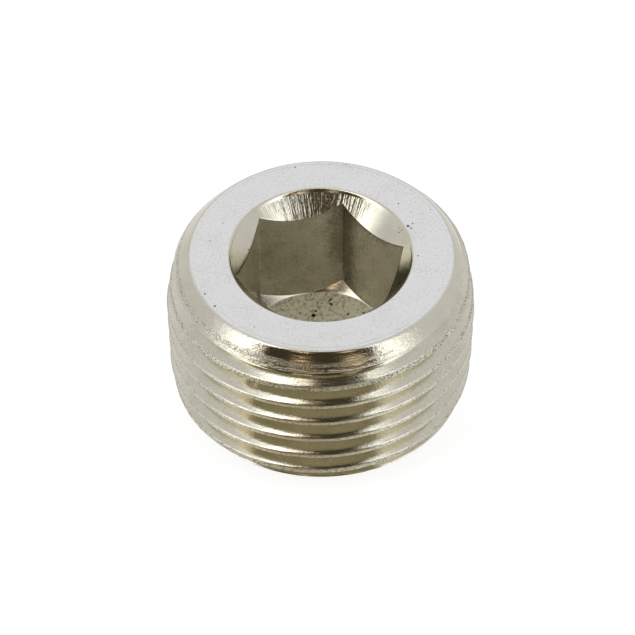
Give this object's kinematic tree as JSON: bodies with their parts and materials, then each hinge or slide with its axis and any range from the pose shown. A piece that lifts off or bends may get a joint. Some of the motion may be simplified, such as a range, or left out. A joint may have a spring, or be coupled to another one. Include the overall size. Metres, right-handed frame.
{
  "type": "sealing plug",
  "caption": "Short headless pipe plug with a full-length taper thread and a hexagon socket in its large end, nickel-plated.",
  "frame": {"origin": "centre of the flat small end, on the thread axis", "axes": "+Z along the thread axis, from the small end to the large end with the socket; -Y is the side that faces the camera in the picture"},
  "size_m": [0.0166, 0.0166, 0.01],
  "materials": {
    "nickel_plate": "bright nickel plating over turned brass, with fine tool marks and small pits"
  },
  "bodies": {
    "root": {"plug_body": "nickel_plate"}
  },
  "joints": []
}
